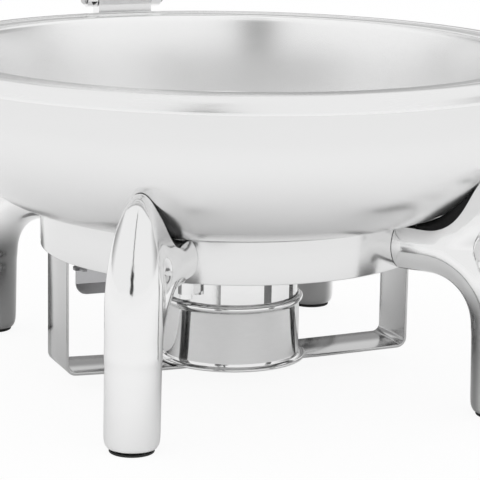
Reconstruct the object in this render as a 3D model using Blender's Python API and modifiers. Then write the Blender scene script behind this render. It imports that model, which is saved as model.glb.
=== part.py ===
"""Round roll top chafer: a deep water pan on a ring with four cradle legs.

Frame: +Z up, the floor is z = 0, the pan's axis is the Z axis, the front faces -Y.
Sizes are in millimetres and turned into metres by MM.
The cover is modelled shut and stands open at COVER_OPEN about its rear hinge.
"""
import math

import bmesh
import bpy
from mathutils import Matrix, Vector

MM = 0.001
GAP = 0.3

# Stand
RING_RADIUS = 125.0
RING_WALL = 3.0
RING_BOTTOM = 86.0
RING_TOP = 113.0
LEG_RADIUS = 16.6
LEG_SPREAD_FRONT = 38.5
LEG_SPREAD_REAR = 39.2
LEG_LEAN = 1.5
FOOT_REACH = 192.5
ARM_HEIGHT = 101.6
ELBOW_RADIUS = 46.0
HORN_START = 85.0
HORN_TIP = 152.0
HORN_LEAN = 10.0
SCOOP_DEPTH = 8.0
SCOOP_LOW = 84.0
SCOOP_HIGH = 30.0
CRADLE_GAP = 0.4
CRADLE_STEP = 90.0 / 16
PAD_STEPS = (7, 13)
PAD_WIDTH_SHARE = 0.9
PAD_GAP = 0.45
FOOT_HEIGHT = 1.4
FOOT_RADIUS = 13.5

# Water pan
PAN_FLOOR = RING_TOP + GAP
PAN_FLAT = 118.0
PAN_CORNER = 70.0
PAN_WALL = PAN_FLAT + PAN_CORNER
PAN_SHEET = 1.2
RIM_RADIUS = 212.0
RIM_TOP = 213.9
LEDGE_TOP = 209.6

# Food pan
FOOD_WALL = 184.4
FOOD_FOOT = 180.0
FOOD_SHEET = 1.0
FOOD_DEPTH = 65.0
FOOD_FLANGE = 196.4
FOOD_TOP = 213.0
FOOD_CORNER = 12.0

# Burner
CUP_RADIUS = 45.0
CUP_SHEET = 1.2
CUP_BASE = 10.6
CUP_TOP = 53.5
FLANGE_RADIUS = 49.5
COLLAR_RADIUS = 43.9
COLLAR_TOP = 74.0
FLAME_HOLE = 26.0
PIVOT_REACH = 51.5
PIVOT_ANGLE = 215.0
SHUTTER_SHEET = 1.5
GRIP_REACH = 108.5
GRIP_BOTTOM = 59.6
GRIP_CREASE = 66.5
GRIP_BEND = 18.0

# Burner bracket
STRAP_WIDTH = 40.0
STRAP_SHEET = 2.0
STRAP_REACH = 119.5
STRAP_TOP = 106.0
STRAP_BEND = 6.0
BAR_CORNER = 9.8
BAR_CENTRE = 8.3

# Cover and its hinge
COVER_RADIUS = 205.5
COVER_RISE = 130.0
COVER_SHEET = 1.2
COVER_BASE = 214.2
COVER_BEAD = 2.4
COVER_OPEN = 90.0
DOME_FACET = 0.7
HINGE_REACH = 228.0
HINGE_SCREW = 188.0
HINGE_HEIGHT = 222.0
HINGE_PIN = 3.0
HINGE_CLEARANCE = 0.3
BARREL_RADIUS = 7.0
BARREL_HALF = 20.0
EAR_OUTER = 28.0
HANDLE_ANGLE = 38.0
HANDLE_SIDE = 14.0
HANDLE_STAND = 32.0
LEAF_ANGLE = 32.0
LEAF_SIDE = 4.4

STEEL = ((0.80, 0.80, 0.80), 0.12, 1.0)
BRUSHED = ((0.72, 0.72, 0.73), 0.30, 1.0)
DARK_STEEL = ((0.45, 0.45, 0.46), 0.22, 1.0)
RUBBER = ((0.02, 0.02, 0.02), 0.80, 0.0)


def clear_scene():
    for obj in list(bpy.data.objects):
        bpy.data.objects.remove(obj, do_unlink=True)


def make_collection(name):
    collection = bpy.data.collections.new(name)
    bpy.context.scene.collection.children.link(collection)
    return collection


def make_material(name, look):
    colour, roughness, metallic = look
    material = bpy.data.materials.new(name)
    material.use_nodes = True
    shader = material.node_tree.nodes["Principled BSDF"]
    shader.inputs["Base Color"].default_value = (*colour, 1.0)
    shader.inputs["Roughness"].default_value = roughness
    shader.inputs["Metallic"].default_value = metallic
    return material


def place(obj, collection):
    for old in list(obj.users_collection):
        old.objects.unlink(obj)
    collection.objects.link(obj)
    return obj


def finish_part(obj, name, look):
    """Give a node its name, material and smooth shading, and put it in the part's collection."""
    obj.name = name
    obj.data.name = name
    obj.data.materials.clear()
    obj.data.materials.append(make_material(name + "_material", look))
    return place(obj, PARTS)


def finish_cutter(obj, name):
    obj.name = name
    obj.hide_render = True
    obj.display_type = "WIRE"
    return place(obj, CUTTERS)


def object_from_mesh(mesh, name):
    obj = bpy.data.objects.new(name, mesh)
    bpy.context.scene.collection.objects.link(obj)
    return obj


def arc(centre, radius, start, end, steps):
    """Points along an arc in the (radius, height) plane; angles in degrees from +radius."""
    points = []
    for i in range(steps + 1):
        angle = math.radians(start + (end - start) * i / steps)
        points.append((centre[0] + radius * math.cos(angle), centre[1] + radius * math.sin(angle)))
    return points


def turned(points, steps, closed):
    """A turned solid: the profile runs down its outer side and back up its inner side."""
    mesh = bpy.data.meshes.new("profile")
    edges = [(i, i + 1) for i in range(len(points) - 1)]
    if closed:
        edges.append((len(points) - 1, 0))
    mesh.from_pydata([(r * MM, 0.0, z * MM) for r, z in points], edges, [])
    obj = object_from_mesh(mesh, "profile")
    screw = obj.modifiers.new("turn", "SCREW")
    screw.axis = "Z"
    screw.steps = steps
    screw.render_steps = steps
    screw.use_merge_vertices = True
    screw.merge_threshold = 0.00001
    return obj


def cylinder(radius, start, end, sides):
    """A round bar between two points given in millimetres."""
    start = Vector(start)
    end = Vector(end)
    along = end - start
    bpy.ops.mesh.primitive_cylinder_add(
        vertices=sides, radius=radius * MM, depth=along.length * MM)
    obj = bpy.context.object
    turn = along.to_track_quat("Z", "Y").to_matrix().to_4x4()
    obj.data.transform(Matrix.Translation((start + end) / 2 * MM) @ turn)
    return obj


def box(low, high):
    bpy.ops.mesh.primitive_cube_add(size=1.0)
    obj = bpy.context.object
    low = Vector(low) * MM
    high = Vector(high) * MM
    obj.data.transform(Matrix.Translation((low + high) / 2) @ Matrix.Diagonal((*(high - low), 1.0)))
    return obj


def plate(outline, thickness):
    """A flat plate in the XY plane from a closed outline, from z = 0 to z = thickness."""
    curve = bpy.data.curves.new("outline", "CURVE")
    curve.dimensions = "2D"
    curve.fill_mode = "BOTH"
    curve.extrude = thickness / 2 * MM
    spline = curve.splines.new("POLY")
    spline.points.add(len(outline) - 1)
    for point, (x, y) in zip(spline.points, outline):
        point.co = (x * MM, y * MM, 0.0, 1.0)
    spline.use_cyclic_u = True
    obj = object_from_mesh(curve, "outline")
    result = mesh_from_curve(obj)
    result.data.transform(Matrix.Translation((0, 0, thickness / 2 * MM)))
    return result


def bent_tube(path, radius, sides, scales=None):
    """A round tube with filled caps along points given in millimetres."""
    curve = bpy.data.curves.new("tube", "CURVE")
    curve.dimensions = "3D"
    curve.bevel_depth = radius * MM
    curve.bevel_resolution = (sides - 4) // 2
    curve.use_fill_caps = True
    spline = curve.splines.new("POLY")
    spline.points.add(len(path) - 1)
    for i, point in enumerate(path):
        spline.points[i].co = (*(Vector(point) * MM), 1.0)
        spline.points[i].radius = scales[i] if scales else 1.0
    return mesh_from_curve(object_from_mesh(curve, "tube"))


def mesh_from_curve(curve_object):
    mesh = baked_mesh(curve_object)
    welded = bmesh.new()
    welded.from_mesh(mesh)
    bmesh.ops.remove_doubles(welded, verts=welded.verts, dist=0.00001)
    bmesh.ops.recalc_face_normals(welded, faces=welded.faces)
    welded.to_mesh(mesh)
    welded.free()
    obj = object_from_mesh(mesh, "from_curve")
    obj.matrix_world = curve_object.matrix_world
    bpy.data.objects.remove(curve_object, do_unlink=True)
    return obj


def baked_mesh(obj):
    bpy.context.view_layer.update()
    depsgraph = bpy.context.evaluated_depsgraph_get()
    return bpy.data.meshes.new_from_object(obj.evaluated_get(depsgraph))


def baked(obj, helpers):
    """The object with its modifiers applied; the helper objects are removed."""
    mesh = baked_mesh(obj)
    result = object_from_mesh(mesh, obj.name)
    result.matrix_world = obj.matrix_world
    for used in [obj, *helpers]:
        bpy.data.objects.remove(used, do_unlink=True)
    return result


def combine(obj, other, operation):
    modifier = obj.modifiers.new(operation.lower(), "BOOLEAN")
    modifier.operation = operation
    modifier.object = other
    modifier.solver = "EXACT"


def cut_and_bake(obj, unions, cutters):
    for other in unions:
        combine(obj, other, "UNION")
    for other in cutters:
        combine(obj, other, "DIFFERENCE")
    return baked(obj, [*unions, *cutters])


def shade(obj, angle=35.0):
    obj.data.shade_smooth()
    obj.data.set_sharp_from_angle(angle=math.radians(angle))
    return obj


def leg_axis(height):
    """Distance of a leg's axis from the pan's axis at a height."""
    return FOOT_REACH - math.tan(math.radians(LEG_LEAN)) * height


def leg_angles():
    """Each leg's name with its direction about Z in degrees."""
    return {
        "front_left": 270.0 - LEG_SPREAD_FRONT,
        "front_right": 270.0 + LEG_SPREAD_FRONT,
        "rear_left": 90.0 + LEG_SPREAD_REAR,
        "rear_right": 90.0 - LEG_SPREAD_REAR,
    }


def corner_point(angle, distance):
    """A point at a distance from the centre of the pan's corner.

    Angles run down the corner, from 0 at the pan's wall to 90 at its floor.
    """
    turn = math.radians(angle)
    return (PAN_FLAT + distance * math.cos(turn), PAN_FLOOR + PAN_CORNER - distance * math.sin(turn))


def scoop_radius(angle):
    """Radius of the cradle's surface about the pan's corner: a gap, and a scoop for the pad."""
    share = min(1.0, max(0.0, (angle - SCOOP_HIGH) / (SCOOP_LOW - SCOOP_HIGH)))
    return PAN_CORNER + CRADLE_GAP + SCOOP_DEPTH * math.sin(math.pi * share) ** 2


def cradle_cutter(top):
    """The water pan's outer shape grown by the cradle's gap and its scoop."""
    profile = [(0.0, top), (PAN_WALL + CRADLE_GAP, top)]
    for i in range(17):
        angle = CRADLE_STEP * i
        profile.append(corner_point(angle, scoop_radius(angle)))
    return turned([*profile, (0.0, PAN_FLOOR - CRADLE_GAP)], 96, False)


def horn_scale(height):
    """The leg's taper above the arm, as a share of its radius: half an ellipse to a rounded tip."""
    rise = max(0.0, (height - HORN_START) / (HORN_TIP - HORN_START))
    return math.sqrt(max(0.0, 1.0 - rise ** 2))


def horn_axis(height):
    """Distance of the horn's axis from the pan's axis: it leans in to touch the pan at its tip."""
    rise = max(0.0, (height - HORN_START) / (HORN_TIP - HORN_START))
    return leg_axis(height) - HORN_LEAN * rise ** 2


def leg_shapes():
    """One leg along +X: a post that tapers to a horn, an arm to the ring and a cradle under the pan.

    The post leans, so its lower end is a little out of level and stands off the foot by more than GAP.
    """
    foot_end = FOOT_HEIGHT + 2.2 * GAP
    heights = [foot_end, foot_end + 1.3, foot_end + 3.2, foot_end + 6.0, 52.0, 86.0, 99.0, 111.0]
    heights += [122.0, 132.0, 140.0, 146.0, 149.6]
    scales = [0.83, 0.91, 0.97, *[horn_scale(z) for z in heights[3:]]]
    post = bent_tube([(horn_axis(z), 0, z) for z in heights], LEG_RADIUS, 20, scales)
    low_centre = (leg_axis(56.0) - ELBOW_RADIUS, ARM_HEIGHT - ELBOW_RADIUS)
    arm_path = [(112.0, 0, ARM_HEIGHT)]
    arm_path += [(r, 0, z) for r, z in arc(low_centre, ELBOW_RADIUS, 90.0, 0.0, 6)]
    arm_path.append((leg_axis(48.0), 0, 48.0))
    arm = bent_tube(arm_path, LEG_RADIUS - 0.25, 20)
    cradle_path = [(140.0, 0, 102.0)]
    cradle_path += [(r, 0, z) for r, z in ((150.0, 105.5), (158.0, 111.0), (165.0, 118.0))]
    cradle_path += [(r, 0, z) for r, z in ((171.0, 125.5), (175.5, 132.0), (179.0, 139.0), (181.0, 145.0))]
    cradle_scales = [0.97, *[horn_scale(z) * 0.985 for r, y, z in cradle_path[1:]]]
    cradle = bent_tube(cradle_path, LEG_RADIUS, 20, cradle_scales)
    webs = [leg_web(162.0, 107.5, 15.4), leg_web(172.0, 112.0, 14.8), leg_web(177.0, 121.0, 13.4)]
    return [post, arm, cradle, *webs]


def make_leg_blank():
    """The leg's shapes in one, cut to the pan and the ring and bored for its bolt and foot."""
    shapes = leg_shapes()
    hollows = [
        cradle_cutter(190.0),
        cylinder(RING_RADIUS + GAP, (0, 0, 60), (0, 0, 150), 96),
        cylinder(4.3, (110, 0, ring_middle()), (150, 0, ring_middle()), 12),
        cylinder(4.6, (FOOT_REACH, 0, -5), (FOOT_REACH, 0, 14), 12),
    ]
    return cut_and_bake(shapes[0], shapes[1:], hollows)


def leg_web(reach, height, radius):
    """A ball that fills the space between the post, the arm and the cradle."""
    bpy.ops.mesh.primitive_uv_sphere_add(segments=16, ring_count=10, radius=radius * MM)
    ball = bpy.context.object
    ball.data.transform(Matrix.Translation(Vector((reach, 0.0, height)) * MM))
    return ball


def ring_middle():
    return (RING_BOTTOM + RING_TOP) / 2


def make_legs():
    blank = make_leg_blank()
    for name, angle in leg_angles().items():
        leg = blank.copy()
        leg.data = blank.data.copy()
        bpy.context.scene.collection.objects.link(leg)
        leg.rotation_euler = (0, 0, math.radians(angle))
        shade(finish_part(leg, "leg_" + name, STEEL))
    bpy.data.objects.remove(blank, do_unlink=True)


def make_cradle_pads():
    """A rubber pad in each leg's scoop, between the leg and the pan and a little narrower than the leg."""
    angles = [CRADLE_STEP * i for i in range(PAD_STEPS[0], PAD_STEPS[1] + 1)]
    profile = [corner_point(angle, PAN_CORNER + PAD_GAP) for angle in reversed(angles)]
    profile += [corner_point(angle, scoop_radius(angle) - PAD_GAP) for angle in angles]
    ring = turned(list(reversed(profile)), 96, True)
    shapes = leg_shapes()
    for shape in shapes:
        shape.data.transform(Matrix.Diagonal((1.0, PAD_WIDTH_SHARE, 1.0, 1.0)))
    narrow = cut_and_bake(shapes[0], shapes[1:], [])
    combine(ring, narrow, "INTERSECT")
    blank = baked(ring, [narrow])
    for name, angle in leg_angles().items():
        pad = blank.copy()
        pad.data = blank.data.copy()
        bpy.context.scene.collection.objects.link(pad)
        pad.rotation_euler = (0, 0, math.radians(angle))
        shade(finish_part(pad, "cradle_pad_" + name, RUBBER))
    bpy.data.objects.remove(blank, do_unlink=True)


def make_feet():
    """A rubber pad under each leg, held by its spigot in the leg's bore."""
    for name, angle in leg_angles().items():
        profile = [(0, 11.0), (3.6, 11.0), (4.2, 10.4), (4.2, FOOT_HEIGHT)]
        profile += [(FOOT_RADIUS, FOOT_HEIGHT), (FOOT_RADIUS, 0.6), (FOOT_RADIUS - 0.6, 0.0), (0, 0)]
        foot = turned(profile, 24, False)
        turn = math.radians(angle)
        foot.location = (FOOT_REACH * MM * math.cos(turn), FOOT_REACH * MM * math.sin(turn), 0)
        shade(finish_part(foot, "foot_" + name, RUBBER))


def make_ring():
    inner = RING_RADIUS - RING_WALL
    edge = 0.6
    profile = [
        (inner + edge, RING_TOP), (RING_RADIUS - edge, RING_TOP), (RING_RADIUS, RING_TOP - edge),
        (RING_RADIUS, RING_BOTTOM + edge), (RING_RADIUS - edge, RING_BOTTOM),
        (inner + edge, RING_BOTTOM), (inner, RING_BOTTOM + edge), (inner, RING_TOP - edge),
    ]
    ring = turned(profile, 72, True)
    for name, angle in leg_angles().items():
        hole = cylinder(4.3, (100, 0, ring_middle()), (135, 0, ring_middle()), 12)
        hole.rotation_euler = (0, 0, math.radians(angle))
        finish_cutter(hole, "ring_hole_" + name)
        combine(ring, hole, "DIFFERENCE")
    shade(finish_part(ring, "support_ring", STEEL))


def make_leg_bolts():
    """A hex bolt and a washer inside the ring for each leg."""
    washer_face = RING_RADIUS - RING_WALL - 0.6
    washer_thickness = 1.6
    head_face = washer_face - washer_thickness - GAP
    height = ring_middle()
    for name, angle in leg_angles().items():
        head = cylinder(7.5, (head_face - 5.0, 0, height), (head_face, 0, height), 6)
        shank = cylinder(4.0, (head_face - 1.0, 0, height), (148.0, 0, height), 12)
        bolt = cut_and_bake(head, [shank], [])
        bolt.rotation_euler = (0, 0, math.radians(angle))
        finish_part(bolt, "leg_bolt_" + name, DARK_STEEL)
        washer = cylinder(8.5, (washer_face - washer_thickness, 0, height), (washer_face, 0, height), 24)
        bore = cylinder(4.3, (washer_face - 5, 0, height), (washer_face + 5, 0, height), 12)
        washer = cut_and_bake(washer, [], [bore])
        washer.rotation_euler = (0, 0, math.radians(angle))
        shade(finish_part(washer, "leg_washer_" + name, DARK_STEEL))


def make_water_pan():
    """Deep pan: flat floor, wide corner, straight wall, a ledge and a rolled rim."""
    sheet = PAN_SHEET
    centre = (PAN_FLAT, PAN_FLOOR + PAN_CORNER)
    ledge_start = PAN_WALL + 3.0
    roll = 197.4
    outer = [(roll + 2.2, RIM_TOP - 0.5), (202.0, RIM_TOP), (206.6, RIM_TOP - 0.9), (210.2, RIM_TOP - 3.4)]
    outer += [(RIM_RADIUS, RIM_TOP - 7.0), (RIM_RADIUS, 203.7)]
    under = [(RIM_RADIUS - sheet, 203.7), (RIM_RADIUS - sheet, RIM_TOP - 6.8), (209.2, RIM_TOP - 4.1)]
    under += [(206.0, RIM_TOP - 2.1), (201.9, RIM_TOP - sheet)]
    under += [(roll + 1.6, LEDGE_TOP + 1.4), (roll, LEDGE_TOP - sheet), (ledge_start, LEDGE_TOP - sheet)]
    outside = [(PAN_WALL, LEDGE_TOP - 4.0), *arc(centre, PAN_CORNER, 0.0, -90.0, 8), (0, PAN_FLOOR)]
    inner_corner = arc(centre, PAN_CORNER - sheet, -90.0, 0.0, 8)
    inside = [(0, PAN_FLOOR + sheet), *inner_corner, (PAN_WALL - sheet, LEDGE_TOP - 3.2)]
    inside += [(ledge_start - 0.6, LEDGE_TOP), (roll - 0.5, LEDGE_TOP), (roll + 0.3, RIM_TOP - 2.2)]
    pan = turned([*inside, *outer, *under, *outside], 64, False)
    for side in (-1, 1):
        hole = cylinder(2.3, (side * 15, 175, HINGE_SCREW), (side * 15, 215, HINGE_SCREW), 10)
        finish_cutter(hole, "pan_hinge_hole_" + ("left" if side < 0 else "right"))
        combine(pan, hole, "DIFFERENCE")
    shade(finish_part(pan, "water_pan", BRUSHED))


def make_food_pan():
    """Shallow pan with a slightly tapered wall; its flange rests on the water pan's ledge."""
    sheet = FOOD_SHEET
    floor = FOOD_TOP - FOOD_DEPTH
    centre = (FOOD_FOOT - FOOD_CORNER, floor + FOOD_CORNER)
    up = [(0, floor + sheet), *arc(centre, FOOD_CORNER - sheet, -90.0, 0.0, 5)]
    up += [(FOOD_WALL - sheet, FOOD_TOP - 2.9), (FOOD_WALL + 0.9, FOOD_TOP - 0.2), (FOOD_WALL + 3.0, FOOD_TOP)]
    down = [(FOOD_FLANGE - 1.6, FOOD_TOP), (FOOD_FLANGE, FOOD_TOP - 1.2), (FOOD_FLANGE, LEDGE_TOP + GAP)]
    down += [(FOOD_FLANGE - sheet, LEDGE_TOP + GAP), (FOOD_FLANGE - sheet, FOOD_TOP - sheet)]
    down += [(FOOD_WALL + 3.0, FOOD_TOP - sheet), (FOOD_WALL, FOOD_TOP - 3.6)]
    down += [*arc(centre, FOOD_CORNER, 0.0, -90.0, 5), (0, floor)]
    food = turned([*up, *down], 64, False)
    shade(finish_part(food, "food_pan", BRUSHED))


def ribbon(points, width):
    """An open strip along points in the XZ plane, as wide as given along Y."""
    strip = bmesh.new()
    verts = [strip.verts.new((x * MM, -width / 2 * MM, z * MM)) for x, z in points]
    edges = [strip.edges.new((a, b)) for a, b in zip(verts, verts[1:])]
    grown = bmesh.ops.extrude_edge_only(strip, edges=edges)["geom"]
    moved = [item for item in grown if isinstance(item, bmesh.types.BMVert)]
    bmesh.ops.translate(strip, verts=moved, vec=(0, width * MM, 0))
    mesh = bpy.data.meshes.new("ribbon")
    strip.to_mesh(mesh)
    strip.free()
    return object_from_mesh(mesh, "ribbon")


def solidify(obj, thickness, offset):
    modifier = obj.modifiers.new("sheet", "SOLIDIFY")
    modifier.thickness = thickness * MM
    modifier.offset = offset
    modifier.use_even_offset = True


def make_bracket():
    """One strap bent into a U: two uprights inside the ring and a bar that dips under the cup."""
    middle = STRAP_SHEET / 2
    side = STRAP_REACH - middle
    low = BAR_CORNER + middle
    bend = arc((side - STRAP_BEND, low + STRAP_BEND), STRAP_BEND, 0.0, -88.0, 5)
    half = [(side, STRAP_TOP), *bend, (54.0, BAR_CENTRE + middle)]
    path = half + [(-x, z) for x, z in reversed(half)]
    strap = ribbon(path, STRAP_WIDTH)
    solidify(strap, STRAP_SHEET, 0.0)
    for side_sign in (-1, 1):
        hole = cylinder(2.3, (side_sign * 22, 0, 0), (side_sign * 22, 0, 25), 10)
        finish_cutter(hole, "bracket_hole_" + ("left" if side_sign < 0 else "right"))
        combine(strap, hole, "DIFFERENCE")
    shade(finish_part(strap, "burner_bracket", STEEL))


def make_cup():
    """Fuel can holder with a base flange and a rolled bead at its mouth."""
    sheet = CUP_SHEET
    low = CUP_BASE
    up = [(0, low + 2.0), (CUP_RADIUS - sheet - 2.0, low + 2.0), (CUP_RADIUS - sheet, low + 4.0)]
    up += [(CUP_RADIUS - sheet, CUP_TOP - 0.6), (CUP_RADIUS - sheet + 0.5, CUP_TOP)]
    down = [(CUP_RADIUS + 0.4, CUP_TOP), (CUP_RADIUS + 1.3, CUP_TOP - 1.2)]
    down += [(CUP_RADIUS + 1.7, CUP_TOP - 2.8), (CUP_RADIUS + 1.3, CUP_TOP - 4.4)]
    down += [(CUP_RADIUS, CUP_TOP - 5.6), (CUP_RADIUS, low + 3.0), (CUP_RADIUS + 0.8, low + 2.0)]
    down += [(FLANGE_RADIUS - 0.5, low + 2.0), (FLANGE_RADIUS, low + 1.4), (FLANGE_RADIUS, low), (0, low)]
    cup = turned([*up, *down], 48, False)
    for side in (-1, 1):
        hole = cylinder(2.3, (side * 22, 0, 0), (side * 22, 0, 25), 10)
        finish_cutter(hole, "cup_hole_" + ("left" if side < 0 else "right"))
        combine(cup, hole, "DIFFERENCE")
    shade(finish_part(cup, "burner_cup", STEEL))
    for side in (-1, 1):
        make_rivet("cup_rivet_" + ("left" if side < 0 else "right"), side * 22)


def make_rivet(name, x):
    """A rivet through the cup's floor and the bracket's bar."""
    top = CUP_BASE + 2.0 + GAP
    bottom = BAR_CENTRE - GAP
    profile = [(0, top + 1.6), (2.4, top + 1.2), (3.6, top), (2.0, top), (2.0, bottom)]
    profile += [(3.4, bottom), (2.4, bottom - 1.2), (0, bottom - 1.5)]
    rivet = turned(profile, 12, False)
    rivet.location = (x * MM, 0, 0)
    shade(finish_part(rivet, name, DARK_STEEL))


def pivot_point(height):
    angle = math.radians(PIVOT_ANGLE)
    return Vector((PIVOT_REACH * math.cos(angle), PIVOT_REACH * math.sin(angle), height))


def make_collar():
    """Burner collar: a skirt that plugs into the cup, a top with the flame hole and a pivot ear."""
    sheet = 1.2
    plug = COLLAR_RADIUS - 0.6
    profile = [
        (FLAME_HOLE, COLLAR_TOP), (COLLAR_RADIUS - 2.0, COLLAR_TOP), (COLLAR_RADIUS - 0.5, COLLAR_TOP - 0.6),
        (COLLAR_RADIUS, COLLAR_TOP - 2.0), (COLLAR_RADIUS, CUP_TOP + GAP),
        (plug, CUP_TOP + GAP), (plug, CUP_TOP - 9.0),
        (plug - sheet, CUP_TOP - 9.0), (plug - sheet, COLLAR_TOP - 2.4),
        (plug - sheet - 1.0, COLLAR_TOP - sheet), (FLAME_HOLE, COLLAR_TOP - sheet),
    ]
    collar = turned(profile, 48, True)
    ear = plate(rounded_link(COLLAR_RADIUS - 1.4, PIVOT_REACH, 5.4), 9.0)
    ear.data.transform(Matrix.Rotation(math.radians(PIVOT_ANGLE), 4, "Z"))
    ear.data.transform(Matrix.Translation((0, 0, 61.0 * MM)))
    bore = cylinder(2.5, pivot_point(50.0), pivot_point(90.0), 12)
    collar = cut_and_bake(collar, [ear], [bore])
    shade(finish_part(collar, "burner_collar", STEEL))


def rounded_link(start, end, half_width):
    """Outline along +X from start to a round end about the point at end."""
    tip = arc((end, 0.0), half_width, -90.0, 90.0, 8)
    return [(start, -half_width), *tip, (start, half_width)]


def make_shutter():
    """Shutter plate over the flame hole, with a pivot link and a grip bent down at its arm."""
    base = COLLAR_TOP + GAP
    disc = cylinder(FLAME_HOLE + 3.5, (0, 0, base), (0, 0, base + SHUTTER_SHEET), 36)
    link = plate(rounded_link(20.0, PIVOT_REACH, 6.2), SHUTTER_SHEET)
    link.data.transform(Matrix.Rotation(math.radians(PIVOT_ANGLE), 4, "Z"))
    link.data.transform(Matrix.Translation((0, 0, base * MM)))
    arm = plate(rounded_link(20.0, GRIP_REACH - 7.0, 7.0), SHUTTER_SHEET)
    arm.data.transform(Matrix.Rotation(math.pi, 4, "Z"))
    arm.data.transform(Matrix.Translation((0, 0, base * MM)))
    grip = make_grip(base)
    bore = cylinder(2.5, pivot_point(50.0), pivot_point(90.0), 12)
    shutter = cut_and_bake(disc, [link, arm, grip], [bore])
    move_origin(shutter, pivot_point(base))
    shade(finish_part(shutter, "burner_shutter", DARK_STEEL))
    head = COLLAR_TOP + GAP + SHUTTER_SHEET + GAP
    profile = [(0, head + 2.4), (3.4, head + 2.2), (4.6, head + 1.0), (4.6, head), (2.2, head)]
    profile += [(2.2, 60.7), (4.2, 60.7), (4.2, 57.8), (0, 57.8)]
    post = turned(profile, 16, False)
    post.location = pivot_point(0.0) * MM
    shade(finish_part(post, "shutter_pivot", STEEL))


def make_grip(base):
    """The finger grip: a plate that hangs from the arm, with its lower lip bent back at a crease."""
    inner = 54.0
    depth = base + 0.8 - GRIP_BOTTOM
    crease = base + 0.8 - GRIP_CREASE
    tip = arc((GRIP_REACH - 6.5, -depth + 6.5), 6.5, -90.0, 0.0, 4)
    heel = arc((inner + 3.0, -depth + 3.0), 3.0, -180.0, -90.0, 3)
    outline = [(inner, 0.0), *heel, *tip, (GRIP_REACH, 0.0)]
    grip = plate(list(reversed(outline)), SHUTTER_SHEET)
    bend_lip(grip, -crease)
    grip.data.transform(Matrix.Rotation(math.pi / 2, 4, "X"))
    grip.data.transform(Matrix.Rotation(math.pi, 4, "Z"))
    grip.data.transform(Matrix.Translation((0, -6.2 * MM, (base + 0.8) * MM)))
    return grip


def bend_lip(obj, crease):
    """Turn the part of a flat plate in XY below a crease line back by GRIP_BEND degrees."""
    sheet = bmesh.new()
    sheet.from_mesh(obj.data)
    parts = [*sheet.verts, *sheet.edges, *sheet.faces]
    bmesh.ops.bisect_plane(sheet, geom=parts, plane_co=(0, crease * MM, 0), plane_no=(0, 1, 0))
    lip = [vert for vert in sheet.verts if vert.co.y < (crease - 0.01) * MM]
    turn = Matrix.Rotation(math.radians(GRIP_BEND), 3, "X")
    bmesh.ops.rotate(sheet, verts=lip, cent=(0, crease * MM, 0), matrix=turn)
    sheet.to_mesh(obj.data)
    sheet.free()


def move_origin(obj, point):
    """Put an object's origin at a point in millimetres without moving its surface."""
    point = Vector(point) * MM
    obj.data.transform(Matrix.Translation(-point))
    obj.location = point


def cover_sphere():
    """Radius and centre height of the cover's dome when shut."""
    radius = (COVER_RADIUS ** 2 + COVER_RISE ** 2) / (2 * COVER_RISE)
    return radius, COVER_BASE + COVER_BEAD + COVER_RISE - radius


def make_cover_shell():
    """Domed cover with a rolled edge, shut over the pans."""
    radius, height = cover_sphere()
    edge = math.degrees(math.acos(COVER_RADIUS / radius))
    outside = arc((0.0, height), radius, 90.0, edge + 0.8, 8)
    bead = arc((COVER_RADIUS - 0.4, COVER_BASE + COVER_BEAD), COVER_BEAD, 50.0, -230.0, 6)
    inside = arc((0.0, height), radius - COVER_SHEET, edge + 0.8, 90.0, 8)
    outside[0] = (0.0, height + radius)
    inside[-1] = (0.0, height + radius - COVER_SHEET)
    return turned([*outside, *bead, *inside], 60, False)


def make_cover(hinge):
    holes = [cylinder(2.3, point - out * 6.0, point + out * 6.0, 10) for point, out in cover_screws()]
    shell = cut_and_bake(make_cover_shell(), [], holes)
    attach(shell, hinge)
    shade(finish_part(shell, "cover", STEEL))
    make_cover_handle(hinge)
    make_cover_leaf(hinge)


def attach(obj, hinge):
    """Parent an object modelled in the shut position to the hinge empty, which turns it open."""
    obj.data.transform(Matrix.Translation(-hinge.location))
    obj.parent = hinge


def cover_normal(height_angle, side):
    """A point on the shut dome, given its angle above the dome's equator and its direction."""
    radius, height = cover_sphere()
    angle = math.radians(height_angle)
    turn = math.radians(side)
    out = Vector((math.cos(angle) * math.cos(turn), math.cos(angle) * math.sin(turn), math.sin(angle)))
    return Vector((0, 0, height)) + out * radius, out


def handle_seats():
    return [cover_normal(HANDLE_ANGLE, 270.0 + side * HANDLE_SIDE) for side in (-1, 1)]


def leaf_seats():
    return [cover_normal(LEAF_ANGLE, 90.0 - side * LEAF_SIDE) for side in (-1, 1)]


def cover_screws():
    """Where screws pass the dome: two for the handle at the front, two for the hinge leaf."""
    return [*handle_seats(), *leaf_seats()]


def rounded_path(points, radius):
    """Points with each inner corner replaced by a bend."""
    path = [points[0]]
    for before, corner, after in zip(points, points[1:], points[2:]):
        start = corner + (before - corner).normalized() * radius
        end = corner + (after - corner).normalized() * radius
        for i in range(5):
            t = i / 4
            path.append(start * (1 - t) ** 2 + corner * 2 * t * (1 - t) + end * t ** 2)
    return [*path, points[-1]]


def make_cover_handle(hinge):
    """A round bar on two stems that follow the dome's normals at the front."""
    (left, left_out), (right, right_out) = handle_seats()
    route = [
        left + left_out * (GAP + 0.1), left + left_out * HANDLE_STAND,
        right + right_out * HANDLE_STAND, right + right_out * (GAP + 0.1),
    ]
    handle = bent_tube(rounded_path(route, 13.0), 5.5, 12)
    bores = [cylinder(2.3, point - out * 5.0, point + out * 14.0, 10) for point, out in handle_seats()]
    handle = cut_and_bake(handle, [], bores)
    attach(handle, hinge)
    shade(finish_part(handle, "cover_handle", STEEL))
    make_cover_screws("handle_screw_", handle_seats(), 12.0, hinge)


def make_cover_screws(name, seats, length, hinge):
    for side, (point, out) in zip(("left", "right"), seats):
        screw = make_screw(point - out * (COVER_SHEET + GAP + DOME_FACET), out, 4.0, 2.2, length)
        attach(screw, hinge)
        shade(finish_part(screw, name + side, DARK_STEEL))


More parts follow.
